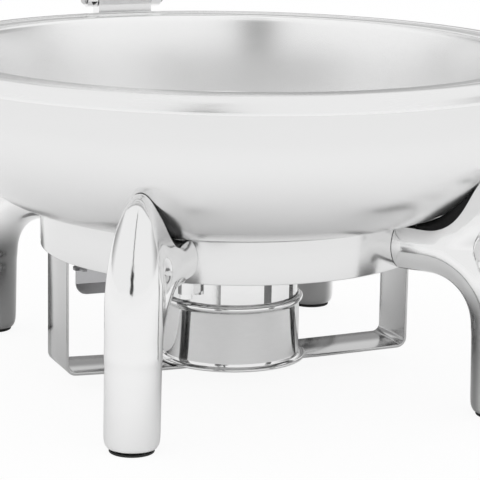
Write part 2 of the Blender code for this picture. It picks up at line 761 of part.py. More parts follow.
def make_screw(seat, along, head_radius, head_height, length):
    """A round head behind the seat with a shank that runs on along a direction."""
    head = cylinder(head_radius, seat - along * head_height, seat, 12)
    shank = cylinder(2.0, seat - along * 0.5, seat + along * length, 10)
    return cut_and_bake(head, [shank], [])


def make_cover_leaf(hinge):
    """Hinge leaf on the cover: a pad on the dome with two ears round the pin."""
    radius, height = cover_sphere()
    axis = Vector((0, HINGE_REACH, HINGE_HEIGHT))
    knuckle = [(HINGE_REACH + y, HINGE_HEIGHT + z) for y, z in arc((0, 0), BARREL_RADIUS, -100.0, 80.0, 6)]
    outline = [*knuckle, (212.0, 246.0), (186.0, 262.0), (180.0, 252.0), (204.0, 221.0), (214.0, 216.5)]
    leaf = side_block(outline, -EAR_OUTER, EAR_OUTER)
    slot = box((-BARREL_HALF - 0.5, HINGE_REACH - BARREL_RADIUS - 1.5, 205),
               (BARREL_HALF + 0.5, HINGE_REACH + 20, HINGE_HEIGHT + BARREL_RADIUS + 1.5))
    bpy.ops.mesh.primitive_uv_sphere_add(segments=64, ring_count=40, radius=(radius + GAP + 0.25) * MM)
    dome = bpy.context.object
    dome.data.transform(Matrix.Translation((0, 0, height * MM)))
    floor = box((-40, 150, 190), (40, 211.0, COVER_BASE + 2 * COVER_BEAD + 0.6))
    pin_bore = cylinder(HINGE_PIN + HINGE_CLEARANCE, axis - Vector((40, 0, 0)), axis + Vector((40, 0, 0)), 16)
    bores = [cylinder(2.3, point - out * 5.0, point + out * 9.0, 10) for point, out in leaf_seats()]
    leaf = cut_and_bake(leaf, [], [slot, dome, floor, pin_bore, *bores])
    attach(leaf, hinge)
    shade(finish_part(leaf, "hinge_leaf", STEEL))
    make_cover_screws("leaf_screw_", leaf_seats(), 8.0, hinge)


def side_block(outline, low, high):
    """An outline in the YZ plane extruded along X between two positions."""
    block = plate(outline, high - low)
    turn = Matrix(((0, 0, 1, 0), (1, 0, 0, 0), (0, 1, 0, 0), (0, 0, 0, 1)))
    block.data.transform(Matrix.Translation((low * MM, 0, 0)) @ turn)
    return block


def make_hinge_bracket():
    """Bracket on the water pan's rear wall that carries the hinge barrel behind the rim."""
    axis = Vector((0, HINGE_REACH, HINGE_HEIGHT))
    barrel = [(HINGE_REACH + y, HINGE_HEIGHT + z) for y, z in arc((0, 0), BARREL_RADIUS, 0.0, 180.0, 10)]
    outline = [(184.0, 176.0), (206.0, 176.0), (HINGE_REACH + BARREL_RADIUS, 200.0), *barrel]
    outline += [(HINGE_REACH - BARREL_RADIUS, 206.0), (216.0, 200.5), (184.0, 200.5)]
    bracket = side_block(outline, -BARREL_HALF, BARREL_HALF)
    cutters = [
        cylinder(PAN_WALL + GAP, (0, 0, 150), (0, 0, 230), 144),
        cylinder(HINGE_PIN + HINGE_CLEARANCE, axis - Vector((40, 0, 0)), axis + Vector((40, 0, 0)), 16),
    ]
    for side in (-1, 1):
        cutters.append(cylinder(2.3, (side * 15, 175, HINGE_SCREW), (side * 15, 200, HINGE_SCREW), 10))
    bracket = cut_and_bake(bracket, [], cutters)
    shade(finish_part(bracket, "hinge_bracket", STEEL))
    for side in (-1, 1):
        seat = Vector((side * 15, math.sqrt((PAN_WALL - PAN_SHEET) ** 2 - 18.6 ** 2) - GAP, HINGE_SCREW))
        rivet = make_screw(seat, Vector((0, 1, 0)), 3.5, 1.0, 12.0)
        shade(finish_part(rivet, "bracket_rivet_" + ("left" if side < 0 else "right"), DARK_STEEL))
    make_hinge_pin(axis)


def make_hinge_pin(axis):
    reach = EAR_OUTER + GAP
    profile = [(0, reach + 2.5), (4.0, reach + 2.5), (5.0, reach + 1.5), (5.0, reach), (HINGE_PIN, reach)]
    profile += [(HINGE_PIN, -reach), (5.0, -reach), (5.0, -reach - 1.5), (4.0, -reach - 2.5), (0, -reach - 2.5)]
    pin = turned(profile, 16, False)
    pin.rotation_euler = (0, math.pi / 2, 0)
    pin.location = axis * MM
    shade(finish_part(pin, "hinge_pin", DARK_STEEL))


def make_hinge_empty():
    empty = bpy.data.objects.new("cover_hinge", None)
    bpy.context.scene.collection.objects.link(empty)
    empty.location = (0, HINGE_REACH * MM, HINGE_HEIGHT * MM)
    empty.rotation_euler = (math.radians(-COVER_OPEN), 0, 0)
    return empty


clear_scene()
PARTS = make_collection("roll_top_chafer")
CUTTERS = make_collection("cutters")
make_legs()
make_cradle_pads()
make_feet()
make_ring()
make_leg_bolts()
make_water_pan()
make_food_pan()
make_bracket()
make_cup()
make_collar()
make_shutter()
make_hinge_bracket()
make_cover(make_hinge_empty())
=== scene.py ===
"""Round roll top chafer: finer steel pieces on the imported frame, with studio light and a camera."""
import math

import bmesh
import bpy
from mathutils import Matrix, Vector


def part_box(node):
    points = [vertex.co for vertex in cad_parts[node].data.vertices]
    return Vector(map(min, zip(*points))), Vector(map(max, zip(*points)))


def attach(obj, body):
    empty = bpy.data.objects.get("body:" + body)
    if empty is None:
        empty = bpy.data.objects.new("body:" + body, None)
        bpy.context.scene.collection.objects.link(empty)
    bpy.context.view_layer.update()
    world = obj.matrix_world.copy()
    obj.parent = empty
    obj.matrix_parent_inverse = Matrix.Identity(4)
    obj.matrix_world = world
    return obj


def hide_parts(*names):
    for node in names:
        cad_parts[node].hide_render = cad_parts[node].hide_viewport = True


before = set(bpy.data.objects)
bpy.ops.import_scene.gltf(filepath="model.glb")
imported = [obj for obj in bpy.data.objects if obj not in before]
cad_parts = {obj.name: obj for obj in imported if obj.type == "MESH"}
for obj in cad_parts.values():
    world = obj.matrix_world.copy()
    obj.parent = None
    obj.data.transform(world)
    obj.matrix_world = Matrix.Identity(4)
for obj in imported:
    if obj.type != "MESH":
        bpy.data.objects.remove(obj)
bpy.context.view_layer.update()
MM = 0.001
LEGS = ("front_left", "front_right", "rear_left", "rear_right")


# ---------------------------------------------------------------- mesh tools

def add_object(name, mesh):
    obj = bpy.data.objects.new(name, mesh)
    bpy.context.scene.collection.objects.link(obj)
    return obj


def arc(centre, radius, start, end, steps):
    """Points along an arc in the (radius, height) plane, angles in degrees from +radius."""
    points = []
    for i in range(steps + 1):
        angle = math.radians(start + (end - start) * i / steps)
        points.append((centre[0] + radius * math.cos(angle), centre[1] + radius * math.sin(angle)))
    return points


def spline(points, per_span=6):
    """A smooth curve through points (Catmull-Rom)."""
    points = [Vector(p) for p in points]
    padded = [points[0] * 2 - points[1], *points, points[-1] * 2 - points[-2]]
    path = []
    for a, b, c, d in zip(padded, padded[1:], padded[2:], padded[3:]):
        for i in range(per_span):
            t = i / per_span
            path.append((b * 2 + (c - a) * t + (a * 2 - b * 5 + c * 4 - d) * t ** 2
                         + (b * 3 - a - c * 3 + d) * t ** 3) / 2)
    path.append(points[-1])
    return [tuple(p) for p in path]


def lathe(profile, steps, closed=False):
    """A turned mesh from (radius, height) points in millimetres; down the outside is outward."""
    mesh = bpy.data.meshes.new("lathe")
    verts = []
    rings = []
    for radius, height in profile:
        if radius < 1e-6:
            rings.append([len(verts)] * steps)
            verts.append((0.0, 0.0, height * MM))
            continue
        rings.append(list(range(len(verts), len(verts) + steps)))
        for i in range(steps):
            angle = 2 * math.pi * i / steps
            verts.append((radius * MM * math.cos(angle), radius * MM * math.sin(angle), height * MM))
    faces = []
    pairs = list(zip(rings, rings[1:]))
    if closed:
        pairs.append((rings[-1], rings[0]))
    for upper, lower in pairs:
        for i in range(steps):
            j = (i + 1) % steps
            corners = []
            for index in (upper[i], lower[i], lower[j], upper[j]):
                if index not in corners:
                    corners.append(index)
            if len(corners) > 2:
                faces.append(corners)
    mesh.from_pydata(verts, [], faces)
    mesh.update()
    return mesh


def smooth(obj, angle=38.0):
    obj.data.shade_smooth()
    obj.data.set_sharp_from_angle(angle=math.radians(angle))
    return obj


def tube(path, radii, sides=32):
    """A round tube of varying radius with flat ends, through points in millimetres."""
    bm = bmesh.new()
    path = [Vector(p) for p in path]
    rings = []
    for i, point in enumerate(path):
        ahead = path[min(i + 1, len(path) - 1)] - path[max(i - 1, 0)]
        turn = ahead.to_track_quat("Z", "Y")
        ring = []
        for k in range(sides):
            angle = 2 * math.pi * k / sides
            offset = turn @ Vector((math.cos(angle) * radii[i], math.sin(angle) * radii[i], 0))
            ring.append(bm.verts.new((point + offset) * MM))
        rings.append(ring)
    for a, b in zip(rings, rings[1:]):
        for k in range(sides):
            bm.faces.new((a[k], a[(k + 1) % sides], b[(k + 1) % sides], b[k]))
    bm.faces.new(list(reversed(rings[0])))
    bm.faces.new(rings[-1])
    bmesh.ops.recalc_face_normals(bm, faces=bm.faces)
    mesh = bpy.data.meshes.new("tube")
    bm.to_mesh(mesh)
    bm.free()
    return mesh


def joined(meshes):
    bm = bmesh.new()
    for mesh in meshes:
        bm.from_mesh(mesh)
    mesh = bpy.data.meshes.new("joined")
    bm.to_mesh(mesh)
    bm.free()
    return mesh


def apply_modifiers(obj):
    bpy.context.view_layer.update()
    depsgraph = bpy.context.evaluated_depsgraph_get()
    mesh = bpy.data.meshes.new_from_object(obj.evaluated_get(depsgraph))
    obj.modifiers.clear()
    obj.data = mesh
    return obj


def cut(obj, *cutters):
    for cutter in cutters:
        modifier = obj.modifiers.new("cut", "BOOLEAN")
        modifier.operation = "DIFFERENCE"
        modifier.object = cutter
        modifier.solver = "EXACT"
    apply_modifiers(obj)
    for cutter in cutters:
        bpy.data.objects.remove(cutter, do_unlink=True)
    return obj


def solid_cylinder(radius, low, high, steps):
    return lathe([(0, high), (radius, high), (radius, low), (0, low)], steps)


# ---------------------------------------------------------------- materials

def node(tree, kind, x, y, **values):
    made = tree.nodes.new(kind)
    made.location = (x, y)
    for key, value in values.items():
        setattr(made, key, value)
    return made


def value_range(tree, source, low, high, x, y):
    spread = node(tree, "ShaderNodeMapRange", x, y)
    spread.inputs["To Min"].default_value = low
    spread.inputs["To Max"].default_value = high
    tree.links.new(source, spread.inputs["Value"])
    return spread.outputs["Result"]


def ramp(tree, source, low, high, x, y, start=0.0, end=1.0):
    """A smooth step from start to end as source goes from low to high."""
    step = node(tree, "ShaderNodeMapRange", x, y, interpolation_type="SMOOTHSTEP")
    step.inputs["From Min"].default_value = low
    step.inputs["From Max"].default_value = high
    step.inputs["To Min"].default_value = start
    step.inputs["To Max"].default_value = end
    tree.links.new(source, step.inputs["Value"])
    return step.outputs["Result"]


def multiply(tree, first, second, x, y):
    product = node(tree, "ShaderNodeMath", x, y, operation="MULTIPLY")
    tree.links.new(first, product.inputs[0])
    tree.links.new(second, product.inputs[1])
    return product.outputs[0]


def darken(tree, share, level, x, y):
    """One where share is 0, level where it is 1."""
    spread = node(tree, "ShaderNodeMapRange", x, y)
    spread.inputs["To Min"].default_value = 1.0
    spread.inputs["To Max"].default_value = level
    tree.links.new(share, spread.inputs["Value"])
    return spread.outputs["Result"]


def steel(name, colour, rough, grain, spread=0.02, tint=0.02, bump=0.005, anisotropic=0.0):
    """Steel with a stretched noise for its grain.

    grain is (space, scale): plain coordinates, or round ones (angle, distance from the axis and height),
    and the three numbers that multiply them.
    """
    material = bpy.data.materials.new(name)
    material.use_nodes = True
    tree = material.node_tree
    shader = tree.nodes["Principled BSDF"]
    shader.inputs["Metallic"].default_value = 1.0
    space, scale = grain
    place = node(tree, "ShaderNodeTexCoord", -1400, 0)
    coordinates = place.outputs["Object"]
    if space == "round":
        coordinates = round_coordinates(tree, coordinates)
    stretch = node(tree, "ShaderNodeVectorMath", -900, 0, operation="MULTIPLY")
    stretch.inputs[1].default_value = scale
    tree.links.new(coordinates, stretch.inputs[0])
    fine = node(tree, "ShaderNodeTexNoise", -700, 100)
    fine.inputs["Scale"].default_value = 1.0
    fine.inputs["Detail"].default_value = 5.0
    fine.inputs["Roughness"].default_value = 0.65
    tree.links.new(stretch.outputs[0], fine.inputs["Vector"])
    cloud = node(tree, "ShaderNodeTexNoise", -700, -200)
    cloud.inputs["Scale"].default_value = 14.0
    cloud.inputs["Detail"].default_value = 3.0
    tree.links.new(place.outputs["Object"], cloud.inputs["Vector"])
    both = node(tree, "ShaderNodeMath", -500, 0, operation="MULTIPLY_ADD")
    both.inputs[1].default_value = 0.7
    tree.links.new(fine.outputs["Fac"], both.inputs[0])
    part = node(tree, "ShaderNodeMath", -600, -250, operation="MULTIPLY")
    part.inputs[1].default_value = 0.3
    tree.links.new(cloud.outputs["Fac"], part.inputs[0])
    tree.links.new(part.outputs[0], both.inputs[2])
    rougher = value_range(tree, both.outputs[0], max(0.02, rough - spread), rough + spread, -250, -150)
    tree.links.new(rougher, shader.inputs["Roughness"])
    paint = node(tree, "ShaderNodeMix", -250, 150, data_type="RGBA")
    paint.inputs["A"].default_value = (*[c * (1 - tint) for c in colour], 1)
    paint.inputs["B"].default_value = (*[min(1.0, c * (1 + tint)) for c in colour], 1)
    tree.links.new(both.outputs[0], paint.inputs["Factor"])
    tree.links.new(paint.outputs["Result"], shader.inputs["Base Color"])
    if bump:
        relief = node(tree, "ShaderNodeBump", -250, -400)
        relief.inputs["Strength"].default_value = bump
        relief.inputs["Distance"].default_value = 0.0004
        tree.links.new(fine.outputs["Fac"], relief.inputs["Height"])
        tree.links.new(relief.outputs["Normal"], shader.inputs["Normal"])
    if anisotropic:
        shader.inputs["Anisotropic"].default_value = anisotropic
        along = node(tree, "ShaderNodeTangent", -250, -650, direction_type="RADIAL", axis="Z")
        tree.links.new(along.outputs["Tangent"], shader.inputs["Tangent"])
    return material


def painted_shade_inner_side(material):
    """Painted shade: darker steel on the side of a leg's post that faces the burner, in the leg's own
    coordinates.

    It starts at SHADE_FROM metres from the pans' axis, is full at SHADE_FULL, and fades out above
    SHADE_TOP.
    """
    tree = material.node_tree
    shader = tree.nodes["Principled BSDF"]
    paint = shader.inputs["Base Color"].links[0].from_socket
    apart = node(tree, "ShaderNodeSeparateXYZ", -700, 600)
    tree.links.new(node(tree, "ShaderNodeTexCoord", -900, 600).outputs["Object"], apart.inputs[0])
    inward = ramp(tree, apart.outputs["X"], SHADE_FROM, SHADE_FULL, -500, 700)
    low = ramp(tree, apart.outputs["Z"], SHADE_END, SHADE_TOP, -500, 500)
    # painted shade: the base colour is darkened where the inward and low masks are both full
    painted_shade_factor = darken(tree, multiply(tree, inward, low, -300, 600), SHADE_LEVEL, -100, 600)
    shaded = node(tree, "ShaderNodeVectorMath", 100, 500, operation="SCALE")
    tree.links.new(paint, shaded.inputs[0])
    tree.links.new(painted_shade_factor, shaded.inputs["Scale"])
    tree.links.new(shaded.outputs[0], shader.inputs["Base Color"])


def round_coordinates(tree, coordinates):
    """(angle, radius, height) about the object's Z axis."""
    apart = node(tree, "ShaderNodeSeparateXYZ", -1300, -200)
    tree.links.new(coordinates, apart.inputs[0])
    angle = node(tree, "ShaderNodeMath", -1150, -100, operation="ARCTAN2")
    tree.links.new(apart.outputs["Y"], angle.inputs[0])
    tree.links.new(apart.outputs["X"], angle.inputs[1])
    flat = node(tree, "ShaderNodeVectorMath", -1300, -400, operation="MULTIPLY")
    flat.inputs[1].default_value = (1, 1, 0)
    tree.links.new(coordinates, flat.inputs[0])
    length = node(tree, "ShaderNodeVectorMath", -1150, -400, operation="LENGTH")
    tree.links.new(flat.outputs[0], length.inputs[0])
    together = node(tree, "ShaderNodeCombineXYZ", -1000, -200)
    tree.links.new(angle.outputs[0], together.inputs[0])
    tree.links.new(length.outputs["Value"], together.inputs[1])
    tree.links.new(apart.outputs["Z"], together.inputs[2])
    return together.outputs[0]


def rubber(name, low_rough, high_rough, bump, gloss):
    material = bpy.data.materials.new(name)
    material.use_nodes = True
    tree = material.node_tree
    shader = tree.nodes["Principled BSDF"]
    place = node(tree, "ShaderNodeTexCoord", -900, 0)
    grit = node(tree, "ShaderNodeTexNoise", -700, 0)
    grit.inputs["Scale"].default_value = 900.0
    tree.links.new(place.outputs["Object"], grit.inputs["Vector"])
    paint = node(tree, "ShaderNodeMix", -350, 150, data_type="RGBA")
    shader.inputs["Specular IOR Level"].default_value = gloss
    paint.inputs["A"].default_value = (0.006, 0.006, 0.006, 1)
    paint.inputs["B"].default_value = (0.016, 0.016, 0.016, 1)
    tree.links.new(grit.outputs["Fac"], paint.inputs["Factor"])
    tree.links.new(paint.outputs["Result"], shader.inputs["Base Color"])
    tree.links.new(value_range(tree, grit.outputs["Fac"], low_rough, high_rough, -350, -100),
                   shader.inputs["Roughness"])
    relief = node(tree, "ShaderNodeBump", -350, -350)
    relief.inputs["Strength"].default_value = bump
    relief.inputs["Distance"].default_value = 0.0002
    tree.links.new(grit.outputs["Fac"], relief.inputs["Height"])
    tree.links.new(relief.outputs["Normal"], shader.inputs["Normal"])
    return material


# painted shade low on the legs' inner sides: where it starts and is full, in metres from the pans' axis,
# the heights where it is gone and full, and the share of colour left
SHADE_FROM = 0.194
SHADE_FULL = 0.182
SHADE_TOP = 0.06
SHADE_END = 0.085
SHADE_LEVEL = 0.35

# grain: fine rings of a brushed sheet, softer rings of a turned part, and an even polish
BRUSHED = ("round", (2, 1500, 1500))
TURNED = ("round", (3, 900, 900))
EVEN = ("plain", (60, 60, 60))

POLISH = steel("polished_steel", (0.88, 0.88, 0.88), 0.10, EVEN, 0.02, 0.02, 0.003)
PAN = steel("pan_brushed_steel", (0.80, 0.80, 0.80), 0.24, BRUSHED, 0.03, 0.015, 0.008, 0.6)
FOOD = steel("food_pan_steel", (0.93, 0.93, 0.93), 0.24, BRUSHED, 0.03, 0.015, 0.008, 0.5)
RIM = steel("rim_polished_steel", (0.85, 0.85, 0.85), 0.27, TURNED, 0.02, 0.015, 0.004)
RING = steel("ring_steel", (0.76, 0.76, 0.76), 0.15, TURNED, 0.03, 0.02, 0.006)
CUP = steel("cup_steel", (0.84, 0.84, 0.84), 0.07, ("round", (6, 30, 400)), 0.04, 0.05, 0.008)
STRAP = steel("strap_steel", (0.55, 0.55, 0.55), 0.15, ("plain", (40, 900, 40)), 0.04, 0.03, 0.008)
SHUTTER = steel("shutter_steel", (0.45, 0.45, 0.46), 0.22, ("plain", (60, 700, 60)), 0.06, 0.08, 0.02)
FASTENER = steel("fastener_steel", (0.55, 0.55, 0.55), 0.28, ("plain", (300, 300, 300)), 0.08, 0.08, 0.03)
COVER = steel("cover_steel", (0.84, 0.84, 0.84), 0.08, TURNED, 0.02, 0.02, 0.004)
LEG = steel("leg_polished_steel", (0.85, 0.85, 0.85), 0.10, EVEN, 0.02, 0.02, 0.003)
# painted shade on the inner side of each leg's post, low down
painted_shade_inner_side(LEG)
RUBBER = rubber("rubber", 0.55, 0.8, 0.15, 0.5)
PAD_RUBBER = rubber("glossy_rubber", 0.18, 0.28, 0.03, 0.16)


def dress(obj, material):
    obj.data.materials.clear()
    obj.data.materials.append(material)
    return obj


def stand_for(name, mesh, body, material, slot, *nodes, angle=38.0, matrix=None):
    """A finer piece in place of CAD nodes, riding on their body."""
    obj = add_object(name, mesh)
    if matrix is not None:
        obj.matrix_world = matrix
    smooth(dress(obj, material), angle)
    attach(obj, body)
    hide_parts(*nodes)
    return obj


# ---------------------------------------------------------------- pans

# the water pan in millimetres: its floor, its sheet and the round corner from floor to wall
PAN_FLOOR = 113.3
PAN_SHEET = 1.2
CORNER = (118.0, 183.3)
CORNER_RADIUS = 70.0
# faces beyond both of these, in metres, are the polished rim
RIM_FROM_RADIUS = 0.1895
RIM_FROM_HEIGHT = 0.2025
# the food pan: the underside of its floor, its sheet and its corner's outside radius
FOOD_FLOOR = 148.0
FOOD_SHEET = 1.0
FOOD_CORNER_RADIUS = 12.0
PAN_STEPS = 256


def water_pan_mesh():
    floor = PAN_FLOOR + PAN_SHEET
    inside = [(0, floor), (60, floor), (110, floor)]
    inside += [*arc(CORNER, CORNER_RADIUS - PAN_SHEET, -90, 0, 24), (186.8, 195.0)]
    inside += spline([(186.8, 204.8), (187.4, 207.4), (188.8, 209.1), (190.8, 209.6)], 4)
    inside += [(195.8, 209.6), (196.7, 209.8), (197.1, 210.6), (197.2, 211.8)]
    crown = spline([(197.4, 212.7), (198.2, 213.4), (200.0, 213.85), (203.5, 213.8), (206.6, 213.1),
                    (209.2, 211.4), (211.0, 208.8), (211.9, 205.6), (212.0, 203.9)], 5)
    lip = [(211.9, 203.3), (211.4, 203.1), (210.8, 203.3), (210.6, 203.9)]
    under = spline([(210.6, 205.4), (209.8, 208.2), (208.2, 210.3), (205.8, 211.8), (202.5, 212.5),
                    (200.0, 212.4), (198.7, 211.6), (198.2, 210.2), (197.8, 208.9)], 3)
    under += [(197.0, 208.4), (191.0, 208.4)]
    outside = spline([(190.4, 208.3), (189.2, 207.6), (188.3, 206.2), (188.0, 204.4)], 4)
    outside += [(188.0, 195.0), *arc(CORNER, CORNER_RADIUS, 0, -90, 24)]
    outside += [(110, PAN_FLOOR), (60, PAN_FLOOR), (0, PAN_FLOOR)]
    return lathe([*inside, *crown, *lip, *under, *outside], PAN_STEPS)


def food_pan_mesh():
    floor = FOOD_FLOOR
    top = floor + FOOD_SHEET
    corner = (168.0, floor + FOOD_CORNER_RADIUS)
    inside = [(0, top), (80, top), (150, top)]
    inside += arc(corner, FOOD_CORNER_RADIUS - FOOD_SHEET, -90, 0, 14)
    inside += [(181.1, 180.0), *spline([(183.3, 208.2), (183.8, 210.8), (185.0, 212.5), (187.2, 213.0)], 4)]
    inside += [(194.4, 213.0), *arc((194.9, 211.5), 1.5, 90, 0, 5), (196.4, 209.9)]
    outside = [(195.4, 209.9), (195.4, 212.0), (188.0, 212.0), (185.8, 211.8), (184.7, 210.6)]
    outside += [(184.3, 208.4), (182.1, 180.0), *arc(corner, FOOD_CORNER_RADIUS, 0, -90, 14)]
    outside += [(80, floor), (0, floor)]
    return lathe([*inside, *outside], PAN_STEPS)


PAN_PIECE = stand_for("water_pan_fine", water_pan_mesh(), "water_pan", PAN, "brushed_steel_sheet",
                      "water_pan")
PAN_PIECE.data.materials.append(RIM)
for face in PAN_PIECE.data.polygons:
    middle = face.center
    if math.hypot(middle.x, middle.y) > RIM_FROM_RADIUS and middle.z > RIM_FROM_HEIGHT:
        face.material_index = 1
stand_for("food_pan_fine", food_pan_mesh(), "food_pan", FOOD, "brushed_steel_sheet", "food_pan")


# ---------------------------------------------------------------- stand

RING_OUTER = 125.0
RING_INNER = 122.0
RING_LOW = 86.0
RING_HIGH = 113.0
RING_EDGE = 0.7
# the leg: its foot's distance from the pans' axis, its inward lean in degrees and its radius
LEG_REACH = 192.5
LEG_LEAN = 1.5
LEG_RADIUS = 16.8
# the horn above the arm: where it starts, its height and how far its tip leans in
HORN_START = 85.0
HORN_HEIGHT = 67.0
HORN_LEAN = 10.0
# the arm: the height of its axis and the radius of its bend
ARM_HEIGHT = 101.6
ARM_BEND = 46.0
# the scoop that holds the pan's corner: angles about that corner, radius and extra depth
SCOOP_START = 30.0
SCOOP_SPAN = 54.0
SCOOP_RADIUS = 70.35
SCOOP_DEPTH = 8.0
# the rubber pad in the scoop: its angles, its inner radius and its room to the leg
PAD_START = 38.0
PAD_SPAN = 36.0
PAD_INNER = 70.4
PAD_ROOM = 0.15
PAD_WIDTH = 0.9


def ring_mesh():
    inner = RING_INNER + RING_EDGE
    outer = RING_OUTER - RING_EDGE
    high = RING_HIGH - RING_EDGE
    low = RING_LOW + RING_EDGE
    profile = [(inner, RING_HIGH), (outer, RING_HIGH), *arc((outer, high), RING_EDGE, 80, 0, 4)]
    profile += [(RING_OUTER, 99.5), *arc((outer, low), RING_EDGE, 0, -90, 4), (inner, RING_LOW)]
    profile += [*arc((inner, low), RING_EDGE, -100, -180, 4), (RING_INNER, 99.5), (RING_INNER, high)]
    return lathe(profile, PAN_STEPS, closed=True)


stand_for("support_ring_fine", ring_mesh(), "stand", RING, "polished_steel", "support_ring")


def leg_reach(height):
    """Distance of the leg's axis from the pans' axis at a height."""
    return LEG_REACH - math.tan(math.radians(LEG_LEAN)) * height


def horn(height):
    """The horn's radius, as a share of the leg's, and its distance from the pans' axis."""
    rise = max(0.0, (height - HORN_START) / HORN_HEIGHT)
    return math.sqrt(max(0.0, 1.0 - rise ** 2)), leg_reach(height) - HORN_LEAN * rise ** 2


def scoop_radius(angle):
    """Radius of the cradle about the pan's corner, at an angle from 0 at its wall to 90 at its floor."""
    share = min(1.0, max(0.0, (angle - SCOOP_START) / SCOOP_SPAN))
    return SCOOP_RADIUS + SCOOP_DEPTH * math.sin(math.pi * share) ** 2


def corner_point(angle, distance):
    turn = math.radians(angle)
    return (CORNER[0] + distance * math.cos(turn), CORNER[1] - distance * math.sin(turn))


def scooped_corner():
    """The pan's outer corner with a little room, and a deeper scoop between the ring and the horn."""
    return [corner_point(1.5 * i, scoop_radius(1.5 * i)) for i in range(61)]


def soften(obj, iterations, group=""):
    modifier = obj.modifiers.new("soften", "SMOOTH")
    modifier.factor = 0.5
    modifier.iterations = iterations
    modifier.vertex_group = group


def leg_blank(width):
    """Post, arm and cradle merged in voxels and smoothed most at their joint; width scales them in Y."""
    radius = LEG_RADIUS
    heights = [1.9, 2.4, 3.2, 4.4, 6.0, 8.0, 11.0, 30.0, 50.0, 60.0, 70.0, 85.0]
    path = [(leg_reach(z), 0, z) for z in heights]
    shares = (0.83, 0.87, 0.91, 0.95, 0.98, 0.995, 1.0, 1.0, 1.0, 1.01, 1.025, 1.035)
    radii = [radius * share for share in shares]
    for step in range(1, 24):
        z = HORN_START + HORN_HEIGHT * math.sin(math.radians(step * 90 / 24))
        share, reach = horn(z)
        path.append((reach, 0, z))
        radii.append((radius + 0.6) * share)
    post = tube(path, radii, 48)
    centre = (leg_reach(56.0) - ARM_BEND, ARM_HEIGHT - ARM_BEND)
    arm_path = [(112.0, 0, ARM_HEIGHT), (128.0, 0, ARM_HEIGHT)]
    arm_path += [(r, 0, z) for r, z in arc(centre, ARM_BEND, 90, 0, 18)] + [(leg_reach(48.0), 0, 48.0)]
    arm = tube(arm_path, [radius + 0.4] * (len(arm_path) - 1) + [radius - 0.4], 48)
    run = spline([(138.0, 101.8), (150.0, 105.5), (158.0, 111.0), (165.0, 118.0), (171.0, 125.5),
                  (175.5, 132.0), (179.0, 139.0), (181.0, 145.0)], 3)
    cradle = tube([(r, 0, z) for r, z in run], [radius * horn(z)[0] for r, z in run], 48)
    crook = spline([(146.0, 101.0), (156.0, 103.5), (165.0, 108.5), (173.0, 116.0), (179.0, 125.0),
                    (182.5, 134.0), (183.5, 142.0)], 4)
    web = tube([(r, 0, z) for r, z in crook], [(radius + 0.5) * horn(z)[0] for r, z in crook], 48)
    obj = add_object("leg_blank", joined([post, arm, cradle, web]))
    obj.data.transform(Matrix.Diagonal((1.0, width, 1.0, 1.0)))
    remesh = obj.modifiers.new("voxels", "REMESH")
    remesh.mode = "VOXEL"
    remesh.voxel_size = 0.0012
    remesh.adaptivity = 0.0
    soften(obj, 10)
    apply_modifiers(obj)
    group = obj.vertex_groups.new(name="joint")
    for vert in obj.data.vertices:
        weight = min(1.0, max(0.0, (vert.co.z / MM - 55.0) / 15.0))
        if weight > 0.0:
            group.add([vert.index], weight, "REPLACE")
    soften(obj, 36, "joint")
    return apply_modifiers(obj)


def leg_mesh():
    """The leg cut to the pan, the ring and its foot's spigot."""
    obj = leg_blank(1.0)
    profile = [(0, 195), (188.35, 195), *scooped_corner(), (0, 112.9)]
    pan = add_object("pan_cutter", lathe(profile, PAN_STEPS))
    ring = add_object("ring_cutter", solid_cylinder(125.3, 60, 150, PAN_STEPS))
    bore = add_object("bore_cutter", solid_cylinder(4.6, -5, 14, 24))
    bore.location.x = LEG_REACH * MM
    cut(obj, pan, ring, bore)
    mesh = obj.data
    bpy.data.objects.remove(obj, do_unlink=True)
    return mesh


def pad_mesh():
    """The rubber pad in the scoop between the leg and the pan, a little narrower than the leg."""
    angles = [PAD_START + PAD_SPAN * i / 24 for i in range(25)]
    inner = [corner_point(a, PAD_INNER) for a in angles]
    outer = [corner_point(a, scoop_radius(a) - PAD_ROOM) for a in reversed(angles)]
    ring = add_object("pad_ring", lathe([*outer, *inner], 512, closed=True))
    blank = leg_blank(PAD_WIDTH)
    modifier = ring.modifiers.new("shape", "BOOLEAN")
    modifier.operation = "INTERSECT"
    modifier.object = blank
    modifier.solver = "EXACT"
    apply_modifiers(ring)
    bpy.data.objects.remove(blank, do_unlink=True)
    mesh = ring.data
    bpy.data.objects.remove(ring, do_unlink=True)
    return mesh


def leg_direction(name):
    low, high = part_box("foot_" + name)
    middle = (low + high) / 2
    return math.atan2(middle.y, middle.x)


LEG_MESH = leg_mesh()
PAD_MESH = pad_mesh()
for leg in LEGS:
    turn = Matrix.Rotation(leg_direction(leg), 4, "Z")
    stand_for("leg_fine_" + leg, LEG_MESH.copy(), "stand", LEG, "polished_steel", "leg_" + leg,
              angle=50.0, matrix=turn)
    stand_for("cradle_pad_fine_" + leg, PAD_MESH.copy(), "stand", PAD_RUBBER, "rubber",
              "cradle_pad_" + leg, matrix=turn)


def foot_mesh():
    """The foot's pad with softened edges, and its spigot up into the leg."""
    profile = [(0, 11), (3.6, 11), (4.2, 10.4), (4.2, 1.5)]
    profile += [(13.1, 1.5), *arc((13.1, 1.1), 0.4, 90, 0, 4)]
    profile += [(13.5, 0.7), *arc((12.9, 0.6), 0.6, 0, -90, 4), (9.0, 0.0), (8.6, 0.4), (0, 0.4)]
    return lathe(profile, 64)


for leg in LEGS:
    low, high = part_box("foot_" + leg)
    place = Matrix.Translation(((low.x + high.x) / 2, (low.y + high.y) / 2, 0))
    stand_for("foot_fine_" + leg, foot_mesh(), "stand", RUBBER, "rubber", "foot_" + leg, matrix=place)


